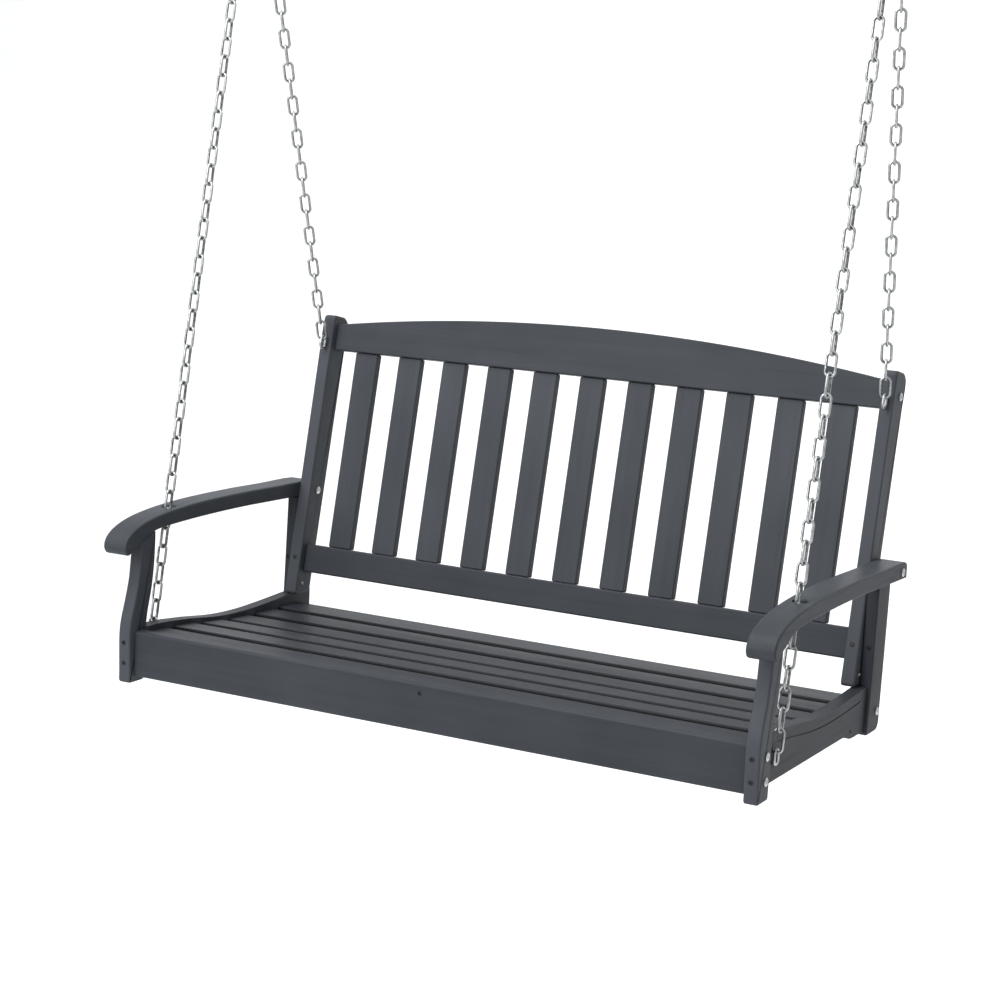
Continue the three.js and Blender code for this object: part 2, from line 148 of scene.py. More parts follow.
# %% [markdown]
# A swing hangs in the air, so its floor is well below it: a pale sheet that curves up into a
# wall behind, as in a photographer's studio, so that no corner shows. It is a plane whose
# back edge is extruded upwards and whose fold is then bevelled into a wide curve.

# %% Floor and wall
FLOOR_SIZE, FLOOR_LEVEL, WALL_HEIGHT, WALL_CURVE = 16, -1.1, 9, 2.5
NEAR_BACK, NEAR_FOLD = 7.9, 0.1
deselect()
bpy.ops.mesh.primitive_plane_add(size=FLOOR_SIZE, location=(0, 0, FLOOR_LEVEL))
floor = bpy.context.object
pick(floor, "EDGE", lambda e: all(p.y > NEAR_BACK for p in ends_of(floor, e)))
bpy.ops.mesh.extrude_region_move(TRANSFORM_OT_translate={"value": (0, 0, WALL_HEIGHT)})
pick(floor, "EDGE", lambda e: all(
    p.y > NEAR_BACK and p.z < NEAR_FOLD for p in ends_of(floor, e)))
bpy.ops.mesh.bevel(offset=WALL_CURVE, segments=16)
settle(floor, "studio_floor", 60)
print("floor faces", len(floor.data.polygons))

# %% [markdown]
# The light is a large soft sheet overhead, a second one beside the camera, a third that washes
# the wall, and a pale sky that fills the shadows. The tops of the boards come out lightest and
# their inner sides darkest.

# %% Light
def soft_light(name, at, towards, size, watts):
    data = bpy.data.lights.new(name, "AREA")
    data.size = size
    data.energy = watts
    light = bpy.data.objects.new(name, data)
    light.location = at
    light.rotation_euler = (Vector(towards) - Vector(at)).to_track_quat("-Z", "Y").to_euler()
    bpy.context.scene.collection.objects.link(light)


soft_light("overhead", (-0.9, -1.2, 3.6), (0, 0, 0.3), 3.0, 170)
soft_light("beside_camera", (-1.6, -4.4, 2.2), (0, 0, 0.4), 2.5, 125)
soft_light("wall_wash", (-2.6, 3.0, 5.5), (-3.2, 8.0, 1.6), 6.0, 220)
world = bpy.data.worlds.new("pale_sky")
bpy.context.scene.world = world
world.use_nodes = True
sky = world.node_tree.nodes["Background"]
sky.inputs["Color"].default_value = (0.98, 0.99, 1.0, 1)
sky.inputs["Strength"].default_value = 0.75
bpy.context.scene.view_settings.view_transform = "Standard"

# %% [markdown]
# Shaders are easier to read as sums than as boxes and wires. A small class wraps the output
# of a node, so that + - and * between two outputs, or an output and a number, add the Math node
# that does it. Every other node comes from one method that sets its options first and its
# inputs second.

# %% A way to write shaders
class Signal:
    def __init__(self, paint, socket):
        self.paint = paint
        self.socket = socket

    def maths(self, operation, first, second):
        return self.paint.node("ShaderNodeMath", {"operation": operation}, {0: first, 1: second})

    def __add__(self, other):
        return self.maths("ADD", self, other)

    def __sub__(self, other):
        return self.maths("SUBTRACT", self, other)

    def __rsub__(self, other):
        return self.maths("SUBTRACT", other, self)

    def __mul__(self, other):
        return self.maths("MULTIPLY", self, other)

    __radd__ = __add__
    __rmul__ = __mul__


class Paint:
    def __init__(self, name):
        self.material = bpy.data.materials.new(name)
        self.material.use_nodes = True
        self.tree = self.material.node_tree
        self.tree.nodes.clear()

    def node(self, kind, settings=None, inputs=None, output=0):
        made = self.tree.nodes.new(kind)
        for key, value in (settings or {}).items():
            if key == "stops":
                ramp = made.color_ramp
                while len(ramp.elements) < len(value):
                    ramp.elements.new(0.5)
                for element, (place, colour) in zip(ramp.elements, value):
                    element.position = place
                    element.color = (*colour, 1)
            else:
                setattr(made, key, value)
        for key, value in (inputs or {}).items():
            socket = made.inputs[key]
            if isinstance(value, Signal):
                self.tree.links.new(value.socket, socket)
            else:
                socket.default_value = value
        return Signal(self, made.outputs[output])

    def finish(self, shader):
        output = self.tree.nodes.new("ShaderNodeOutputMaterial")
        self.tree.links.new(shader.socket, output.inputs["Surface"])
        return self.material


# %% Floor paper
def plain_paper():
    paint = Paint("studio_paper")
    return paint.finish(paint.node("ShaderNodeBsdfPrincipled", None, {
        "Base Color": (0.96, 0.96, 0.96, 1), "Roughness": 0.9, "Specular IOR Level": 0.1}))


floor.data.materials.append(plain_paper())

# %% [markdown]
# The boards are sprayed slate grey. The paint is thin: long pores and bands of the wood
# still show as faint streaks along each board, in its colour, its gloss and its surface. The
# streaks come from noise on Object coordinates that are stretched along the board, so there is
# one paint for each direction in which boards run, and the raked boards of the back have theirs
# turned with them. Each board carries three numbers: its batch shifts the noise, so no two boards
# repeat; the second sets how light the paint is, as painted light and shade per kind of board with
# a small random spread; and the third paints shade into the narrow gaps between the seat slats.

# %% Painted wood
RAKE = math.radians(11.6)
ALONG, ACROSS = 1.6, 42.0
PORES_ALONG, PORES_ACROSS = 3 * ALONG, 5.5 * ACROSS


def attribute(paint, name):
    """A number that a piece's mesh carries at its points."""
    return paint.node("ShaderNodeAttribute", {"attribute_name": name}, None, "Fac")


def noise(paint, place, scale, detail, roughness, distortion=0.0):
    return paint.node("ShaderNodeTexNoise", None, {
        "Vector": place, "Scale": scale, "Detail": detail, "Roughness": roughness,
        "Distortion": distortion}, "Fac")


def painted_wood(name, stretch, turn=0.0):
    paint = Paint(name)
    place = paint.node("ShaderNodeTexCoord", None, None, "Object")
    batch = attribute(paint, "batch")
    coat = attribute(paint, "coat")
    hidden = attribute(paint, "hidden")
    shift = paint.node("ShaderNodeCombineXYZ", None, {
        "X": batch * 7.3, "Y": batch * 3.1, "Z": batch * 5.7})
    turned = paint.node("ShaderNodeMapping", None, {"Vector": place, "Rotation": (turn, 0, 0)})
    moved = paint.node("ShaderNodeVectorMath", {"operation": "ADD"}, {0: turned, 1: shift})
    grain_place = paint.node("ShaderNodeVectorMath", {"operation": "MULTIPLY"}, {
        0: moved, 1: stretch})
    pores_place = paint.node("ShaderNodeVectorMath", {"operation": "MULTIPLY"}, {
        0: moved, 1: tuple(PORES_ACROSS if s == ACROSS else PORES_ALONG for s in stretch)})
    bands = noise(paint, grain_place, 1.0, 3.0, 0.55, 0.5)
    pores = noise(paint, pores_place, 1.0, 2.0, 0.6)
    clouds = noise(paint, moved, 6.0, 2.0, 0.5)
    spray = noise(paint, moved, 900.0, 1.0, 0.5)
    streak = paint.node("ShaderNodeMapRange", None, {
        "Value": pores, "From Min": 0.30, "From Max": 0.46, "To Min": 1.0, "To Max": 0.0})
    # Painted light and shade: the second number lightens or darkens each kind of board, and the
    # third darkens the faces of seat slats in their gaps.
    tone = bands * 0.24 + clouds * 0.36 + coat - streak * 0.035 - hidden * 0.6
    colour = paint.node("ShaderNodeValToRGB", {"stops": [
        (0.0, (0.006, 0.0065, 0.0075)), (0.28, (0.020, 0.0225, 0.0268)),
        (0.5, (0.029, 0.0325, 0.0385)), (0.85, (0.050, 0.0555, 0.064))]},
        {"Fac": tone}, "Color")
    height = bands * 0.3 - streak * 0.25 + spray * 0.15
    bump = paint.node("ShaderNodeBump", None, {
        "Strength": 0.30, "Distance": 0.0004, "Height": height})
    return paint.finish(paint.node("ShaderNodeBsdfPrincipled", None, {
        "Base Color": colour, "Roughness": 0.40 + bands * 0.10 + streak * 0.06, "Normal": bump,
        "Specular IOR Level": 0.10}))


WOOD = {
    "across": painted_wood("painted_wood_across", (ALONG, ACROSS, ACROSS)),
    "deep": painted_wood("painted_wood_deep", (ACROSS, ALONG, ACROSS)),
    "upright": painted_wood("painted_wood_upright", (ACROSS, ACROSS, ALONG)),
    "raked": painted_wood("painted_wood_raked", (ACROSS, ACROSS, ALONG), RAKE),
}
print("paints", sorted(WOOD))

# %% [markdown]
# The chains, eyes and bolts are zinc-plated steel: pale, a little cloudy, with a soft gloss.
# The screws are blackened. Each finish is one metal shader whose colour and roughness wander
# over a few millimetres. A fourth number paints shade onto the inner sides of the chain links,
# where the wire faces the rest of the link and its neighbours.

# %% Metals
def plated(name, dark, light, smooth, rough, metal=1.0):
    paint = Paint(name)
    place = paint.node("ShaderNodeTexCoord", None, None, "Object")
    cloudy = noise(paint, place, 160.0, 3.0, 0.6)
    fine = noise(paint, place, 1400.0, 2.0, 0.6)
    worn = attribute(paint, "worn")
    # Painted shade: the darkest stop is reached where the fourth number darkens the inner sides of
    # chain links.
    painted_shade_colour = tuple(0.25 * v for v in dark)
    colour = paint.node("ShaderNodeValToRGB", {"stops": [(0.0, painted_shade_colour), (0.3, dark), (0.7, light)]},
                        {"Fac": cloudy - worn * 0.45}, "Color")
    bump = paint.node("ShaderNodeBump", None, {
        "Strength": 0.25, "Distance": 0.0002, "Height": cloudy + fine})
    return paint.finish(paint.node("ShaderNodeBsdfPrincipled", None, {
        "Base Color": colour, "Metallic": metal, "Normal": bump,
        "Roughness": smooth + fine * (rough - smooth)}))


ZINC = plated("zinc_plate", (0.30, 0.31, 0.31), (0.52, 0.53, 0.53), 0.24, 0.50)
BOLT_STEEL = plated("bolt_plate", (0.34, 0.35, 0.35), (0.62, 0.63, 0.63), 0.20, 0.42)
DULL_STEEL = plated("dull_pin", (0.20, 0.20, 0.21), (0.34, 0.34, 0.35), 0.35, 0.60)
BLACKED = plated("blackened_screw", (0.010, 0.011, 0.012), (0.030, 0.031, 0.034), 0.35, 0.6, 0.6)
print("metals", [m.name for m in (ZINC, BOLT_STEEL, DULL_STEEL, BLACKED)])

# %% [markdown]
# A board in a garden seat is planed square and its edges are eased with a small round cutter,
# so that it doesn't bite and the paint holds. Each board starts as a copy of its solid. The copy's
# doubled vertices are merged and its flat sides become single faces, so that only true
# edges are left to round. The rims of the holes stay sharp: heads cover those of the bolts,
# and the hole for the front chain is drilled after the arm is shaped.

# %% Where the holes are
EYE_WIRE = 0.0025
BOLT_RIM = 0.0048
REAR_EYE_RIM, REAR_EYE_REACH = 0.012, 0.05
CHAIN_RIM = 0.016


def centre_of(node):
    low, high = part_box(node)
    return (low + high) / 2


BOLT_NODES = sorted(name for name in frame["nodes"] if name.startswith(("bolt_", "pin_")))
HOLES = [centre_of(name) for name in BOLT_NODES]
for name in SIDES:
    middle = centre_of("front_eye_" + name)
    middle.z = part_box("front_eye_" + name)[0].z + EYE_WIRE
    HOLES.append(middle)
REAR_EYES = [centre_of("rear_eye_" + name) for name in SIDES]
CHAIN_LOW, CHAIN_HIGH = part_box("front_chain_right")


def beside_bolt(point):
    """True at the rim of a hole that runs from side to side."""
    return any(math.hypot(point.y - h.y, point.z - h.z) < BOLT_RIM for h in HOLES)


def beside_rear_eye(point):
    """True at the rim of a hole for the shank of a rear eye."""
    return any(math.hypot(point.x - e.x, point.z - e.z) < REAR_EYE_RIM
               and abs(point.y - e.y) < REAR_EYE_REACH for e in REAR_EYES)


def beside_chain(point):
    """True at the rim of an arm's hole, where the front chain passes through."""
    share = (point.z - CHAIN_LOW.z) / (CHAIN_HIGH.z - CHAIN_LOW.z)
    centre_y = CHAIN_LOW.y + (CHAIN_HIGH.y - CHAIN_LOW.y) * share
    return (abs(abs(point.x) - CHAIN_LOW.x) < CHAIN_RIM
            and abs(point.y - centre_y) < CHAIN_RIM and 0 < share < 1)


print("holes", len(HOLES) + len(REAR_EYES))

# %% Easing the edges
WELD, FLAT = 0.00002, math.radians(0.4)
CURVED_WELD = 0.0014


def merged_copy(node):
    """A copy of a solid, welded, with each flat side as one face."""
    deselect()
    piece = frame["nodes"][node].copy()
    piece.data = piece.data.copy()
    for key in list(piece.keys()):
        del piece[key]
    piece.parent = None
    bpy.context.scene.collection.objects.link(piece)
    piece.data.materials.clear()
    activate(piece)
    if piece.data.has_custom_normals:
        bpy.ops.mesh.customdata_custom_splitnormals_clear()
    bpy.ops.object.mode_set(mode="EDIT")
    bpy.ops.mesh.select_mode(type="VERT")
    bpy.ops.mesh.select_all(action="SELECT")
    bpy.ops.mesh.remove_doubles(threshold=WELD)
    bpy.ops.mesh.dissolve_limited(angle_limit=FLAT)
    bpy.ops.object.mode_set(mode="OBJECT")
    return piece


def sharp_edges(piece, least=38):
    """The edges that turn by more than an angle, as pairs of vertices."""
    mesh = piece.data
    around = {}
    for face in mesh.polygons:
        for key in face.edge_keys:
            around.setdefault(key, []).append(face.normal.copy())
    limit = math.cos(math.radians(least))
    return {key for key, normals in around.items()
            if len(normals) == 2 and normals[0].dot(normals[1]) < limit}


def ease(piece, radius, segments=3, curved=False):
    """Rounds the sharp edges. A curved board is welded more coarsely first, because the bevel
    is only as wide as the shortest edge beside it when it is told not to overlap."""
    if curved:
        pick(piece, "VERT", lambda v: True)
        bpy.ops.mesh.remove_doubles(threshold=CURVED_WELD)
        bpy.ops.object.mode_set(mode="OBJECT")
    sharp = sharp_edges(piece)

    def wanted(edge):
        in_hole = all(beside_bolt(p) or beside_rear_eye(p) or beside_chain(p)
                      for p in ends_of(piece, edge))
        return tuple(sorted(edge.vertices)) in sharp and not in_hole

    pick(piece, "EDGE", wanted)
    bpy.ops.mesh.bevel(offset=radius, segments=segments, profile=0.5, clamp_overlap=not curved)
    bpy.ops.object.mode_set(mode="OBJECT")


def carve(piece, cutter):
    """Cuts one closed shape out of a piece, then throws the cutter away."""
    apply_modifier(piece, "BOOLEAN", operation="DIFFERENCE", object=cutter, solver="EXACT")
    bpy.data.objects.remove(cutter)


def face_true(piece):
    """Keeps flat sides flat where smooth shading meets a rounded edge."""
    apply_modifier(piece, "WEIGHTED_NORMAL", keep_sharp=True, weight=80)


# %% [markdown]
# Each kind of board gets its own lightness of paint, chosen to stand for the light and shade that
# falls on it: this is painted light and shade, not a real difference in the paint. Chance moves
# each board a little either way. The seed is fixed, so the bench comes out the same every time.

# %% Numbers for the paint
batches = random.Random(11)
COAT_AND_LIGHT = {"front_rail": 0.24, "top_rail": 0.26, "bottom_rail": 0.27, "back_slat": 0.39,
        "seat_slat": 0.10, "arm": 0.36, "front_leg": 0.49, "rear_leg": 0.12, "side_rail": 0.18,
        "back_post": 0.54, "rear_seat_rail": 0.1, "centre_seat_support": 0.0}
COAT_SPREAD = 0.025
GAP_STARTS, GAP_SPAN = 0.97, 0.35


def unit(value):
    return min(1.0, max(0.0, value))


def value_for(node, table):
    """Looks a node up in a table whose keys are the beginnings of names."""
    return next(value for start, value in table.items() if node.startswith(start))


def write_value(piece, name, values):
    layer = piece.data.attributes.new(name, "FLOAT", "POINT")
    layer.data.foreach_set("value", values)


def paint_values(piece, node):
    """A batch number, a lightness of paint with painted light and shade per kind of board, and
    painted shade where a point faces into a gap.
    """
    points = piece.data.vertices
    write_value(piece, "batch", [batches.random()] * len(points))
    coat = value_for(node, COAT_AND_LIGHT) + batches.uniform(-COAT_SPREAD, COAT_SPREAD)
    write_value(piece, "coat", [coat] * len(points))
    # Painted shade: faces of a seat slat that turn away from its top are darkened, as shade falls
    # into the gaps between slats.
    in_gap = node.startswith("seat_slat")
    write_value(piece, "hidden", [
        unit((GAP_STARTS - v.normal.z) / GAP_SPAN) if in_gap else 0.0 for v in points])


def stands_for(piece, node, body, material):
    """Gives a finished piece its material and its body, and hides the solid that it takes over."""
    piece.data.materials.append(material)
    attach(piece, body)
    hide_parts(node)


print("coats", len(COAT_AND_LIGHT))

# %% [markdown]
# Small black screws hold the rails to the legs and posts. Each is driven just below the
# surface, so a shallow round pocket is cut for it. The pockets have to be there before the
# boards are finished, so their places come first: each is on a face of one board, and
# says which way that face looks.

# %% Screw places
RAIL_SETBACK, RAIL_BOTTOM = 0.0114, 0.0090
FRAME_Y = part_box("front_rail")[0].y - RAIL_SETBACK
FRAME_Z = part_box("front_rail")[0].z - RAIL_BOTTOM
BACK_SETBACK = 0.4398
BACK_FOOT = FRAME_Y + BACK_SETBACK
RAIL_FACE = 0.5679
POST_MIDDLE = 0.5417
RAKE_FRONT = Vector((0, -math.cos(RAKE), math.sin(RAKE)))


def on_back(x, depth, along):
    """A point of the back, from its depth behind the posts' front and its height up the rake."""
    y = BACK_FOOT + depth * math.cos(RAKE) + along * math.sin(RAKE)
    return Vector((x, y, FRAME_Z + along * math.cos(RAKE) - depth * math.sin(RAKE)))


def on_frame(x, y, z):
    """A point of the bench, from the front of its legs and the bottom of its seat."""
    return Vector((x, FRAME_Y + y, FRAME_Z + z))


SCREWS = {}
for name, side in SIDES.items():
    SCREWS["front_leg_" + name] = [
        (on_frame(side * 0.568, -0.0012, 0.067), -Y),
        (on_frame(side * 0.568, -0.0003, 0.032), -Y)]
    SCREWS["back_post_" + name] = [(on_back(side * POST_MIDDLE, 0, 0.150), RAKE_FRONT)]
    SCREWS["rear_leg_" + name] = [(on_frame(side * 0.5655, 0.4848, 0.1424), -Y)]
    SCREWS["side_rail_" + name] = [(on_frame(side * RAIL_FACE, 0.4144, 0.0180), X * side)]
SCREWS["front_rail"] = [(on_frame(0.001, RAIL_SETBACK, 0.0705), -Y)]
SCREW_RADIUS = 0.0036
POCKET_RADIUS, POCKET_DEPTH = SCREW_RADIUS + 0.0006, 0.0016
STANDS_OUT = 0.001


def turned_to(direction):
    """The rotation that points an object's Z in a direction."""
    return direction.to_track_quat("Z", "Y").to_euler()


def round_cutter(at, facing, radius, depth):
    """A closed plug that stands 1 mm out of a face and goes into it by a depth."""
    deselect()
    bpy.ops.mesh.primitive_cylinder_add(
        vertices=24, radius=radius, depth=depth + STANDS_OUT,
        location=at - facing * (depth - STANDS_OUT) / 2, rotation=turned_to(facing))
    return bpy.context.object


print("screw places", {node: len(places) for node, places in SCREWS.items()})

# %% [markdown]
# The outer face of each side rail has a fine groove that follows its dished top edge. Its
# cutter is a small square that is extruded step by step along the line of the groove.

# %% Groove of the side rails
GROOVE_SIDE, GROOVE_DEPTH, BELOW_TOP = 0.0022, 0.0012, 0.0175
GROOVE_LINE = [(0.097, 0.0904), (0.124, 0.0878), (0.155, 0.0848), (0.184, 0.0812),
               (0.213, 0.0775), (0.247, 0.0740), (0.290, 0.0718), (0.330, 0.0714),
               (0.372, 0.0726), (0.416, 0.0746), (0.455, 0.0768)]


def groove_cutter(side):
    """A square rod along the groove, from places given as depth and height of the top edge."""
    x = side * (RAIL_FACE - GROOVE_DEPTH + GROOVE_SIDE / 2)
    places = [on_frame(x, y, z - BELOW_TOP) for y, z in GROOVE_LINE]
    deselect()
    bpy.ops.mesh.primitive_plane_add(
        size=GROOVE_SIDE, location=places[0], rotation=(math.radians(90), 0, 0))
    cutter = bpy.context.object
    bpy.ops.object.transform_apply(location=True, rotation=True)
    pick(cutter, "FACE", lambda f: True)
    for here, there in zip(places, places[1:]):
        bpy.ops.mesh.extrude_region_move(TRANSFORM_OT_translate={"value": there - here})
    bpy.ops.mesh.select_all(action="SELECT")
    bpy.ops.mesh.normals_make_consistent(inside=False)
    bpy.ops.object.mode_set(mode="OBJECT")
    return cutter


print("groove", len(GROOVE_LINE), "places")

# %% [markdown]
# Now every board goes through the same steps. It is copied from its solid, its edges are
# eased, the groove and the screw pockets are cut, and it gets the paint whose grain runs its way.
# The curved boards have short edges at their bolt holes and noses, so they take the coarser weld.

# %% Boards
GRAIN = {"front_rail": "across", "top_rail": "across", "bottom_rail": "across",
         "rear_seat_rail": "across", "seat_slat": "across", "centre_seat_support": "deep",
         "arm": "deep", "side_rail": "deep", "front_leg": "upright", "rear_leg": "upright",
         "back_slat": "raked", "back_post": "raked"}
EDGE = {"front_rail": 0.003, "top_rail": 0.0035, "bottom_rail": 0.003, "back_slat": 0.0025,
        "seat_slat": 0.0018, "arm": 0.0034, "front_leg": 0.0034, "rear_leg": 0.0032,
        "side_rail": 0.003, "back_post": 0.003, "rear_seat_rail": 0.002,
        "centre_seat_support": 0.001}
CURVED = ("arm", "front_leg", "rear_leg", "back_post")
WOODEN = [s["node"] for s in frame["record"]["subparts"] if s["material_slot"] == "painted_wood"]
for node in sorted(WOODEN):
    board = merged_copy(node)
    ease(board, value_for(node, EDGE), curved=node.startswith(CURVED))
    if node.startswith("side_rail"):
        carve(board, groove_cutter(1 if node.endswith("right") else -1))
    for at, facing in SCREWS.get(node, []):
        carve(board, round_cutter(at, facing, POCKET_RADIUS, POCKET_DEPTH))
    settle(board, "board_" + node)
    face_true(board)
    paint_values(board, node)
    stands_for(board, node, "swing", WOOD[value_for(node, GRAIN)])
print("boards", len(WOODEN))

# %% [markdown]
# The bolt heads are low polished domes. Each bolt starts as a cylinder, the head. The rim of
# its outer face is inset and lifted in three steps into a dome, and its inner face is inset
# to the width of the shank and extruded into the wood. The arm bolts and the small pins at the feet
# of the posts go right through, so theirs end in a second dome, a cap nut.

# %% Bolts
BOLT, PIN = (0.0068, 0.003), (0.0032, 0.0018)
HEAD_HEIGHT = 0.0012
DOME = [(0.16, 0.0008), (0.25, 0.0006), (0.28, 0.0003)]
RISE = HEAD_HEIGHT + sum(lift for _, lift in DOME)
DIMPLE_STEP, DIMPLE_DEPTH = 0.03, 0.15
SHORT_OF_END = 0.0035


def dome(head, shank, reach, towards, at):
    """A domed head at a place, looking along X one way or the other, with a length of shank."""
    deselect()
    bpy.ops.mesh.primitive_cylinder_add(
        vertices=32, radius=head, depth=HEAD_HEIGHT, location=(0, 0, HEAD_HEIGHT / 2))
    piece = bpy.context.object
    bpy.ops.object.transform_apply(location=True)
    pick(piece, "FACE", lambda f: f.normal.z > 0.9)
    for share, lift in DOME:
        bpy.ops.mesh.inset(thickness=share * head, depth=lift)
    bpy.ops.mesh.inset(thickness=DIMPLE_STEP * head, depth=-DIMPLE_DEPTH * head)
    pick(piece, "FACE", lambda f: f.normal.z < -0.9)
    bpy.ops.mesh.inset(thickness=head - shank, depth=0)
    bpy.ops.mesh.extrude_region_move(TRANSFORM_OT_translate={"value": (0, 0, -reach)})
    bpy.ops.object.mode_set(mode="OBJECT")
    piece.rotation_euler = (0, math.radians(90) * towards, 0)
    piece.location = at
    return piece


def bolt(node, outward):
    low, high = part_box(node)
    middle = centre_of(node)
    pin = node.startswith("pin_")
    through = pin or "_arm_" in node
    head, shank = PIN if pin else BOLT
    outer, inner = (high.x, low.x) if outward > 0 else (low.x, high.x)
    length = abs(outer - inner)
    reach = length / 2 - RISE if through else length - SHORT_OF_END
    outer_seat = Vector((outer - outward * RISE, middle.y, middle.z))
    inner_seat = Vector((inner + outward * RISE, middle.y, middle.z))
    parts = [dome(head, shank, reach, outward, outer_seat)]
    if through:
        parts.append(dome(head, shank, reach, -outward, inner_seat))
    name = "steel_" + node
    piece = settle(join(parts, name), name, 50)
    stands_for(piece, node, "swing", DULL_STEEL if pin else BOLT_STEEL)


for node in BOLT_NODES:
    bolt(node, -1 if node.endswith("left") else 1)
print("bolts and pins", len(BOLT_NODES))

# %% [markdown]
# The black screws: a flat head with a socket. The head is a short cylinder whose outer face is
# inset and raised a little for a sloping rim, then inset again and pushed down for the socket.

# %% Screws
SCREW_HEAD, SUNK = 0.0014, 0.0006


def screw(at, facing, name, body):
    """A black screw in its pocket. It stands for no solid, because nothing rests on it."""
    deselect()
    bpy.ops.mesh.primitive_cylinder_add(
        vertices=24, radius=SCREW_RADIUS, depth=SCREW_HEAD, location=(0, 0, -SCREW_HEAD / 2))
    piece = bpy.context.object
    bpy.ops.object.transform_apply(location=True)
    pick(piece, "FACE", lambda f: f.normal.z > 0.9)
    bpy.ops.mesh.inset(thickness=0.0005, depth=0.0002)
    bpy.ops.mesh.inset(thickness=0.0013, depth=0)
    bpy.ops.mesh.inset(thickness=0.0001, depth=-0.0011)
    bpy.ops.object.mode_set(mode="OBJECT")
    piece.rotation_euler = turned_to(facing)
    piece.location = at - facing * SUNK
    settle(piece, name, 50)
    piece.data.materials.append(BLACKED)
    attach(piece, body)


for node, places in SCREWS.items():
    for number, (at, facing) in enumerate(places, 1):
        screw(at, facing, f"screw_{node}_{number}", "swing")
print("screws", sum(len(places) for places in SCREWS.values()))

# %% [markdown]
# A chain link, a forged eye and a hanging ring are all round wire bent into a ring, with or
# without straight sides. So one helper makes them: a torus is turned by half a segment, its upper
# half is moved up and its lower half down, and what was a ring becomes a link.

# %% Wire rings
def wire_ring(half_width, half_height, wire, around=12, section=6):
    """A ring in the XZ plane, centred on the origin; sizes run to the middle of the wire."""
    deselect()
    bpy.ops.mesh.primitive_torus_add(
        major_segments=around, minor_segments=section, major_radius=half_width, minor_radius=wire,
        rotation=(math.radians(90), math.radians(180 / around), 0))
    piece = bpy.context.object
    bpy.ops.object.transform_apply(rotation=True)
    straight = half_height - half_width
    if straight > 0:
        for half in (1, -1):
            pick(piece, "VERT", lambda v: v.co.z * half > 0)
            bpy.ops.transform.translate(value=(0, 0, half * straight))
            bpy.ops.object.mode_set(mode="OBJECT")
    return piece


# %% [markdown]
# The four lower eyes are forged rings with a shank that goes through the wood. The front pair
# lies flat against the side rails. Its shanks turn inwards, and each has a washer and a nut on
# the inner face of its rail. The rear pair stands out of the fronts of the posts.

# %% Rods and places
EYE_WIDTH, EYE_HEIGHT = 0.0073, 0.011
EYE_OUT, SHANK_END = 0.5734, 0.5379
WASHER_OUT, WASHER_IN, NUT_IN = 0.5458, 0.5443, 0.5403
WASHER_RADIUS, NUT_RADIUS = 0.006, 0.0046
EYE_PROUD, EYE_ALONG, SHANK_DEPTH = 0.0102, 0.548, 0.030


def rod(start, end, radius, sides=20, ease_ends=0.0):
    span = end - start
    deselect()
    bpy.ops.mesh.primitive_cylinder_add(
        vertices=sides, radius=radius, depth=span.length, location=(start + end) / 2,
        rotation=turned_to(span))
    piece = bpy.context.object
    if ease_ends:
        bpy.ops.object.transform_apply(location=True, rotation=True)
        ease(piece, ease_ends, 2)
    return piece


def placed(piece, at, turn):
    """Turns a piece made at the origin, then carries it to its place."""
    piece.matrix_world = Matrix.Translation(at) @ turn.to_4x4()
    activate(piece)
    bpy.ops.object.transform_apply(location=True, rotation=True)
    return piece


def beside(point, x):
    """The same place at another x."""
    return Vector((x, point.y, point.z))


def above(point, z):
    """The same place at another height."""
    return Vector((point.x, point.y, z))


# %% Eyes
QUARTER = Matrix.Rotation(math.radians(90), 3, "Z")
EYE_AT = {}
for name, side in SIDES.items():
    centre = beside(centre_of("front_eye_" + name), side * EYE_OUT)
    EYE_AT["front", name] = centre
    ring = placed(wire_ring(EYE_WIDTH, EYE_HEIGHT, EYE_WIRE, 24, 12), centre, QUARTER)
    foot = centre - Z * EYE_HEIGHT
    shank = rod(foot, beside(foot, side * SHANK_END), EYE_WIRE)
    washer_in = beside(foot, side * WASHER_IN)
    washer = rod(beside(foot, side * WASHER_OUT), washer_in, WASHER_RADIUS)
    nut = rod(washer_in, beside(foot, side * NUT_IN), NUT_RADIUS, 6, 0.0004)
    eye = join([ring, shank, washer, nut], "forged_front_eye_" + name)
    settle(eye, eye.name, 50)
    stands_for(eye, "front_eye_" + name, "swing", ZINC)

LEAN = Matrix.Rotation(-RAKE, 3, "X")
for name, side in SIDES.items():
    centre = on_back(side * POST_MIDDLE, -EYE_PROUD, EYE_ALONG)
    EYE_AT["rear", name] = centre
    ring = placed(wire_ring(EYE_WIDTH, EYE_HEIGHT, EYE_WIRE, 24, 12), centre, LEAN @ QUARTER)
    shank = rod(on_back(side * POST_MIDDLE, EYE_WIDTH - EYE_PROUD, EYE_ALONG),
                on_back(side * POST_MIDDLE, SHANK_DEPTH, EYE_ALONG), EYE_WIRE)
    eye = join([ring, shank], "forged_rear_eye_" + name)
    settle(eye, eye.name, 50)
    stands_for(eye, "rear_eye_" + name, "swing", ZINC)
print("eyes", {" ".join(key): [round(v, 3) for v in at] for key, at in EYE_AT.items()})

# %% [markdown]
# The chain is the long-link kind: straight-sided links of thin wire, each turned a quarter
# from the last. One link is modelled and copied along the line from an eye to the ring
# above. The links of a chain share out its length, so the pitch differs between
# the front and the rear by under two millimetres. The rear chains are twisted a little, and the
# twist eases off over the last links below the ring.

# %% One chain
LINK_WIRE, LINK_WIDTH = 0.0024, 0.0079
EASING_LINKS = 6
LINK_SHADE_BASE, LINK_SHADE_INSIDE = 0.15, 1.1


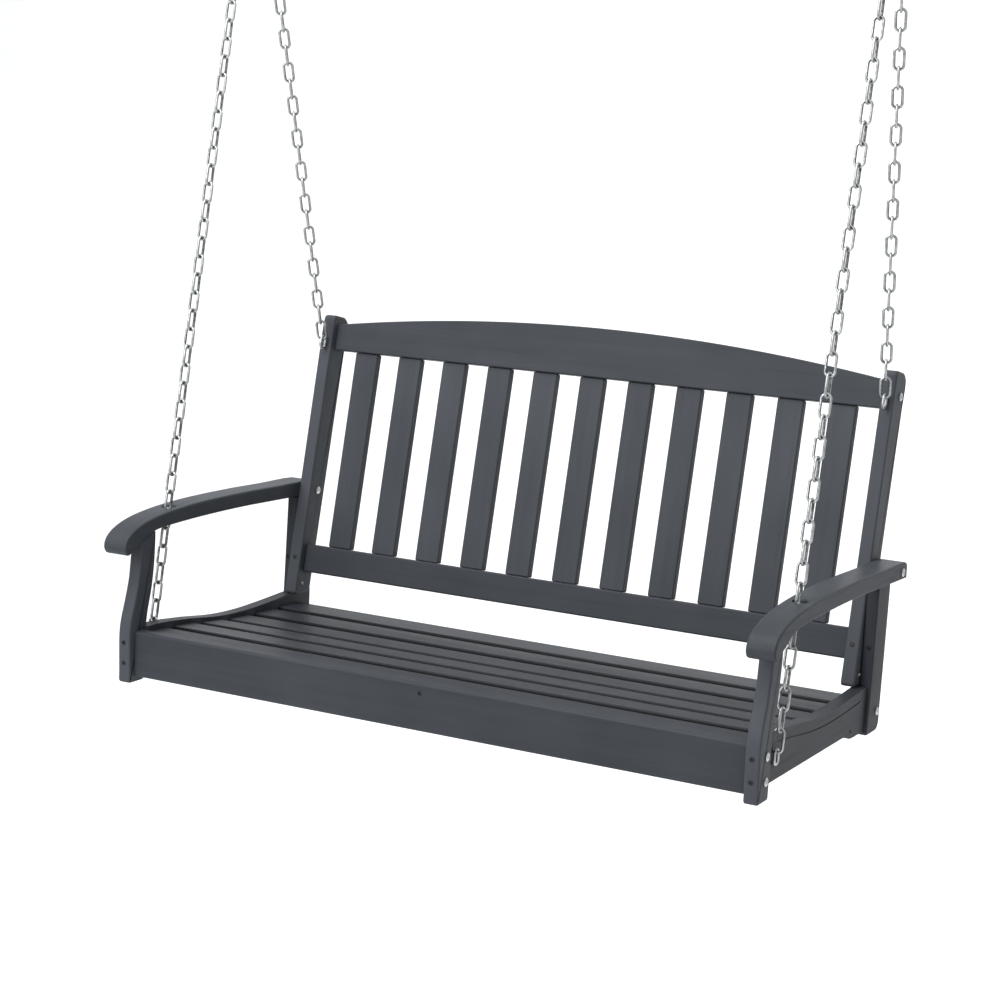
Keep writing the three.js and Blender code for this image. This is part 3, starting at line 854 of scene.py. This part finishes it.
def chain(name, bottom, top, count, twist=0.0):
    """Links from the inside of the lower ring to the inside of the upper one."""
    along = (top - bottom).normalized()
    pitch = (top - bottom).length / count
    link = wire_ring(LINK_WIDTH, pitch / 2 + LINK_WIRE, LINK_WIRE, 12, 6)
    bend = pitch / 2 + LINK_WIRE - LINK_WIDTH
    # Painted shade on each link: strong on the inner side of the wire, a little on its flanks, none
    # outside.
    worn = []
    for v in link.data.vertices:
        outwards = Vector((v.co.x, 0, v.co.z - max(-bend, min(bend, v.co.z)))).normalized()
        worn.append(unit(LINK_SHADE_BASE - LINK_SHADE_INSIDE * v.normal.dot(outwards)))
    write_value(link, "worn", worn)
    sideways = (X - along * X.dot(along)).normalized()
    links = []
    for number in range(count):
        copy = link.copy()
        copy.data = link.data.copy()
        bpy.context.scene.collection.objects.link(copy)
        eased = min(1.0, (count - 1 - number) / EASING_LINKS)
        turn = math.radians(90) * (number % 2) + twist * eased
        across = Matrix.Rotation(turn, 3, along) @ sideways
        basis = Matrix((across, along.cross(across), along)).transposed()
        middle = bottom + along * pitch * (number + 0.5)
        copy.matrix_world = Matrix.Translation(middle) @ basis.to_4x4()
        links.append(copy)
    bpy.data.objects.remove(link)
    whole = join(links, name)
    settle(whole, name, 80)
    return whole, pitch


# %% Rings and chains
RING_RADIUS, RING_WIRE = 0.018, 0.0035
LINKS = {"front": 45, "rear": 31}
REAR_TWIST = {"left": math.radians(30), "right": math.radians(18)}
for name in SIDES:
    ring_at = centre_of("hang_ring_" + name)
    ring = placed(wire_ring(RING_RADIUS, RING_RADIUS, RING_WIRE, 40, 14), ring_at, QUARTER)
    settle(ring, "ring_of_chains_" + name, 60)
    stands_for(ring, "hang_ring_" + name, "swing", ZINC)
    twists = {"front": 0.0, "rear": REAR_TWIST[name]}
    for which, count in LINKS.items():
        start = EYE_AT[which, name]
        along = (ring_at - start).normalized()
        inside_eye = start + along * (EYE_HEIGHT - EYE_WIRE)
        inside_ring = ring_at - along * (RING_RADIUS - RING_WIRE)
        whole, pitch = chain(
            f"links_{which}_{name}", inside_eye, inside_ring, count, twists[which])
        stands_for(whole, f"{which}_chain_{name}", "swing", ZINC)
        print(whole.name, count, "links, pitch", round(pitch * 1000, 2), "mm")

# %% [markdown]
# Above each end of the bench a plate is screwed to the ceiling, with an eye of thick wire
# welded below it. The plate is a flat block with rounded corners and two holes, the eye is the
# same wire ring as before with a neck, and two screws fill the plate's holes.

# %% Ceiling plates
CORNER, CORNER_STEPS, PLATE_EDGE = 0.008, 6, 0.0008
PLATE_HOLE, HOLE_FROM_MIDDLE, THROUGH = 0.0038, 0.033, 0.007


def rises(piece, edge):
    """True for an edge that goes from the bottom of a plate to its top."""
    bottom, top = ends_of(piece, edge)
    return abs(top.z - bottom.z) > 0.003


def plate_holes(name):
    centre = above(centre_of("ceiling_plate_" + name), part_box("ceiling_plate_" + name)[0].z)
    return [centre + X * end * HOLE_FROM_MIDDLE for end in (-1, 1)]


for name in SIDES:
    node = "ceiling_plate_" + name
    low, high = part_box(node)
    deselect()
    bpy.ops.mesh.primitive_cube_add(size=1, location=centre_of(node), scale=high - low)
    plate = bpy.context.object
    bpy.ops.object.transform_apply(location=True, rotation=True, scale=True)
    pick(plate, "EDGE", lambda e: rises(plate, e))
    bpy.ops.mesh.bevel(offset=CORNER, segments=CORNER_STEPS)
    bpy.ops.object.mode_set(mode="OBJECT")
    ease(plate, PLATE_EDGE, 2)
    for at in plate_holes(name):
        carve(plate, round_cutter(at, -Z, PLATE_HOLE, THROUGH))
    settle(plate, "plate_" + name, 30)
    stands_for(plate, node, "hangers", BOLT_STEEL)
    for number, at in enumerate(plate_holes(name), 1):
        screw(at - Z * SCREW_HEAD, -Z, f"plate_screw_{name}_{number}", "hangers")
print("plates", sorted(SIDES))

# %% Ceiling eyes
HOOK_RADIUS, HOOK_WIRE, HOOK_MIDDLE = 0.014, 0.004, 0.018
NECK_START, NECK_RADIUS = 0.0135, 0.005
COLLAR_HEIGHT, COLLAR_RADIUS, COLLAR_EDGE = 0.004, 0.009, 0.0005
for name in SIDES:
    node = "hanger_eye_" + name
    low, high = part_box(node)
    middle = above(centre_of(node), low.z + HOOK_MIDDLE)
    top = above(middle, high.z)
    ring = wire_ring(HOOK_RADIUS, HOOK_RADIUS, HOOK_WIRE, 40, 14)
    placed(ring, middle, Matrix.Identity(3))
    neck = rod(middle + Z * NECK_START, top, NECK_RADIUS, 24)
    collar = rod(top - Z * COLLAR_HEIGHT, top, COLLAR_RADIUS, 6, COLLAR_EDGE)
    hook = join([ring, neck, collar], "eye_of_hanger_" + name)
    settle(hook, hook.name, 50)
    stands_for(hook, node, "hangers", BOLT_STEEL)
print("ceiling eyes", sorted(SIDES))
